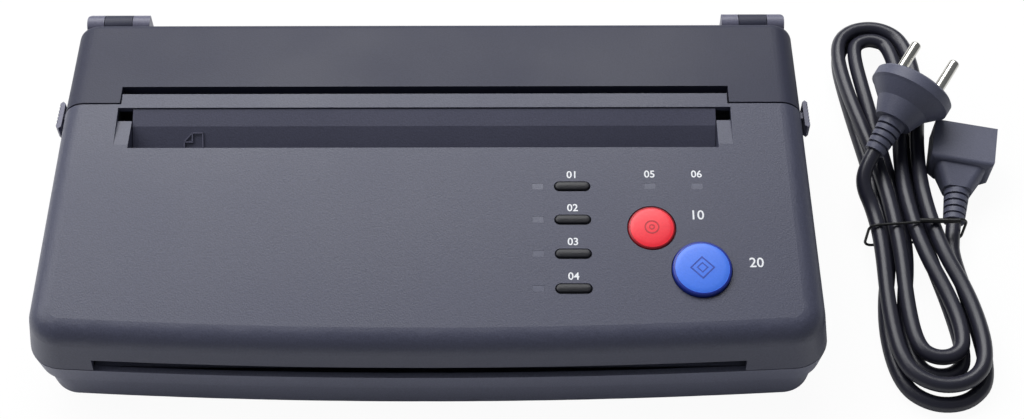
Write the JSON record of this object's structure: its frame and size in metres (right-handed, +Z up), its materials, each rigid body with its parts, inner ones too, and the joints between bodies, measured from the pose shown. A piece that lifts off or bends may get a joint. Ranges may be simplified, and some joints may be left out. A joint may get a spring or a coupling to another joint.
{
  "type": "thermal stencil copier",
  "caption": "Low desktop thermal copier with sloping keyed panel, rear-hinged lid, document well, stencil slot and front exit, its mains lead hanked beside it.",
  "frame": {"origin": "on the table, at the middle of the machine's width and depth (without the loose lead)", "axes": "+X to the machine's right as its user sees it, +Y to the rear, +Z up"},
  "size_m": [0.4141, 0.2086, 0.0669],
  "materials": {
    "panel_grey": "fine moulded texture",
    "lid_grey": "fine moulded texture",
    "base_grey": "fine moulded texture",
    "black_plastic": "moulded",
    "blue_plastic": "satin face, dark rim",
    "red_plastic": "satin face, dark rim",
    "lamp_window": "clear grey",
    "board_green": "coated board",
    "white_plastic": "moulded",
    "steel": "zinc plated",
    "aluminium": "extruded",
    "glass": "clear",
    "rubber": "semi matte",
    "black_wire": "coated wire"
  },
  "bodies": {
    "machine": {"backing_plate": "white_plastic", "base_tray": "base_grey", "board_screws": "steel", "case_screws": "steel", "chute_plate": "steel", "document_ramp": "base_grey", "front_cover": "panel_grey", "gear_stud": "steel", "head_bracket": "steel", "head_springs": "steel", "heat_sink": "aluminium", "hinge_housing_left": "base_grey", "hinge_housing_right": "base_grey", "hinge_pins": "steel", "image_sensor": "black_plastic", "indicator_lamps": "lamp_window", "inlet_pins": "steel", "key_board": "board_green", "light_windows": "lamp_window", "main_board": "board_green", "main_board_parts": "black_plastic", "paper_guide": "steel", "power_board": "board_green", "power_board_parts": "black_plastic", "power_inlet": "black_plastic", "rear_wall": "base_grey", "rubber_feet": "rubber", "sensor_glass": "glass", "shaft_bushes": "white_plastic", "side_plate_left": "steel", "side_plate_right": "steel", "stencil_guide": "steel", "stepper_motor": "steel", "switch_housing": "black_plastic", "tact_switches": "black_plastic", "thermal_head": "white_plastic"},
    "rear_cover": {"rear_cover": "lid_grey"},
    "release_latch_left": {"release_latch_left": "base_grey"},
    "release_latch_right": {"release_latch_right": "base_grey"},
    "stop_button": {"stop_button": "red_plastic"},
    "copy_button": {"copy_button": "blue_plastic"},
    "platen": {"platen_roller": "rubber", "platen_shaft": "steel", "platen_gear": "white_plastic"},
    "feed": {"feed_rollers": "rubber", "feed_shaft": "steel", "feed_gear": "white_plastic"},
    "pinch_roller": {"pinch_roller": "steel"},
    "reduction_gear": {"reduction_gear": "white_plastic"},
    "motor_pinion": {"motor_pinion": "white_plastic"},
    "switch_rocker": {"switch_rocker": "black_plastic"},
    "mains_lead": {"mains_cord": "rubber", "mains_plug": "rubber", "plug_pins": "steel", "cord_connector": "rubber", "twist_tie": "black_wire"},
    "mode_key_1": {"mode_key_1": "black_plastic"},
    "mode_key_2": {"mode_key_2": "black_plastic"},
    "mode_key_3": {"mode_key_3": "black_plastic"},
    "mode_key_4": {"mode_key_4": "black_plastic"}
  },
  "joints": [
    {"name": "lid_hinge", "type": "hinge", "parent": "machine", "child": "rear_cover", "pos_m": [0, 0.0788, 0.059], "axis": [-1, 0, 0], "range_deg": [0, 62]},
    {"name": "release_slide_left", "type": "slide", "parent": "machine", "child": "release_latch_left", "axis": [0, 1, 0], "range_m": [0, 0.004], "stiffness_N_per_m": 120, "springref_m": -0.001},
    {"name": "release_slide_right", "type": "slide", "parent": "machine", "child": "release_latch_right", "axis": [0, 1, 0], "range_m": [0, 0.004], "stiffness_N_per_m": 120, "springref_m": -0.001},
    {"name": "mode_key_press_1", "type": "slide", "parent": "machine", "child": "mode_key_1", "axis": [0, 0.1478, -0.989], "range_m": [0, 0.0008], "stiffness_N_per_m": 400, "springref_m": -0.001},
    {"name": "mode_key_press_2", "type": "slide", "parent": "machine", "child": "mode_key_2", "axis": [0, 0.1478, -0.989], "range_m": [0, 0.0008], "stiffness_N_per_m": 400, "springref_m": -0.001},
    {"name": "mode_key_press_3", "type": "slide", "parent": "machine", "child": "mode_key_3", "axis": [0, 0.1478, -0.989], "range_m": [0, 0.0008], "stiffness_N_per_m": 400, "springref_m": -0.001},
    {"name": "mode_key_press_4", "type": "slide", "parent": "machine", "child": "mode_key_4", "axis": [0, 0.1478, -0.989], "range_m": [0, 0.0008], "stiffness_N_per_m": 400, "springref_m": -0.001},
    {"name": "stop_press", "type": "slide", "parent": "machine", "child": "stop_button", "axis": [0, 0.1478, -0.989], "range_m": [0, 0.0009], "stiffness_N_per_m": 400, "springref_m": -0.001},
    {"name": "copy_press", "type": "slide", "parent": "machine", "child": "copy_button", "axis": [0, 0.1478, -0.989], "range_m": [0, 0.0012], "stiffness_N_per_m": 400, "springref_m": -0.001},
    {"name": "pinion_spin", "type": "hinge", "parent": "machine", "child": "motor_pinion", "pos_m": [0, 0.0548, 0.025], "axis": [1, 0, 0], "continuous": true},
    {"name": "reduction_spin", "type": "hinge", "parent": "machine", "child": "reduction_gear", "pos_m": [0, 0.04675, 0.04344], "axis": [1, 0, 0], "continuous": true},
    {"name": "platen_spin", "type": "hinge", "parent": "machine", "child": "platen", "pos_m": [0, 0.03, 0.029], "axis": [1, 0, 0], "continuous": true},
    {"name": "feed_spin", "type": "hinge", "parent": "machine", "child": "feed", "pos_m": [0, 0.0055, 0.0428], "axis": [1, 0, 0], "continuous": true},
    {"name": "pinch_spin", "type": "hinge", "parent": "machine", "child": "pinch_roller", "pos_m": [0, 0.00085, 0.05086], "axis": [1, 0, 0], "continuous": true},
    {"name": "switch_tip", "type": "hinge", "parent": "machine", "child": "switch_rocker", "pos_m": [0.117, 0.0706, 0.027], "axis": [1, 0, 0], "range_deg": [0, 16]},
    {"name": "lead_lift", "type": "slide", "parent": "machine", "child": "mains_lead", "axis": [0, 0, 1], "range_m": [0, 0.06]}
  ],
  "couplings": [
    {"joint": "reduction_spin", "follows": "platen_spin", "ratio": -2.6667},
    {"joint": "pinion_spin", "follows": "platen_spin", "ratio": 6.2222},
    {"joint": "feed_spin", "follows": "platen_spin", "ratio": -1.3333}
  ]
}
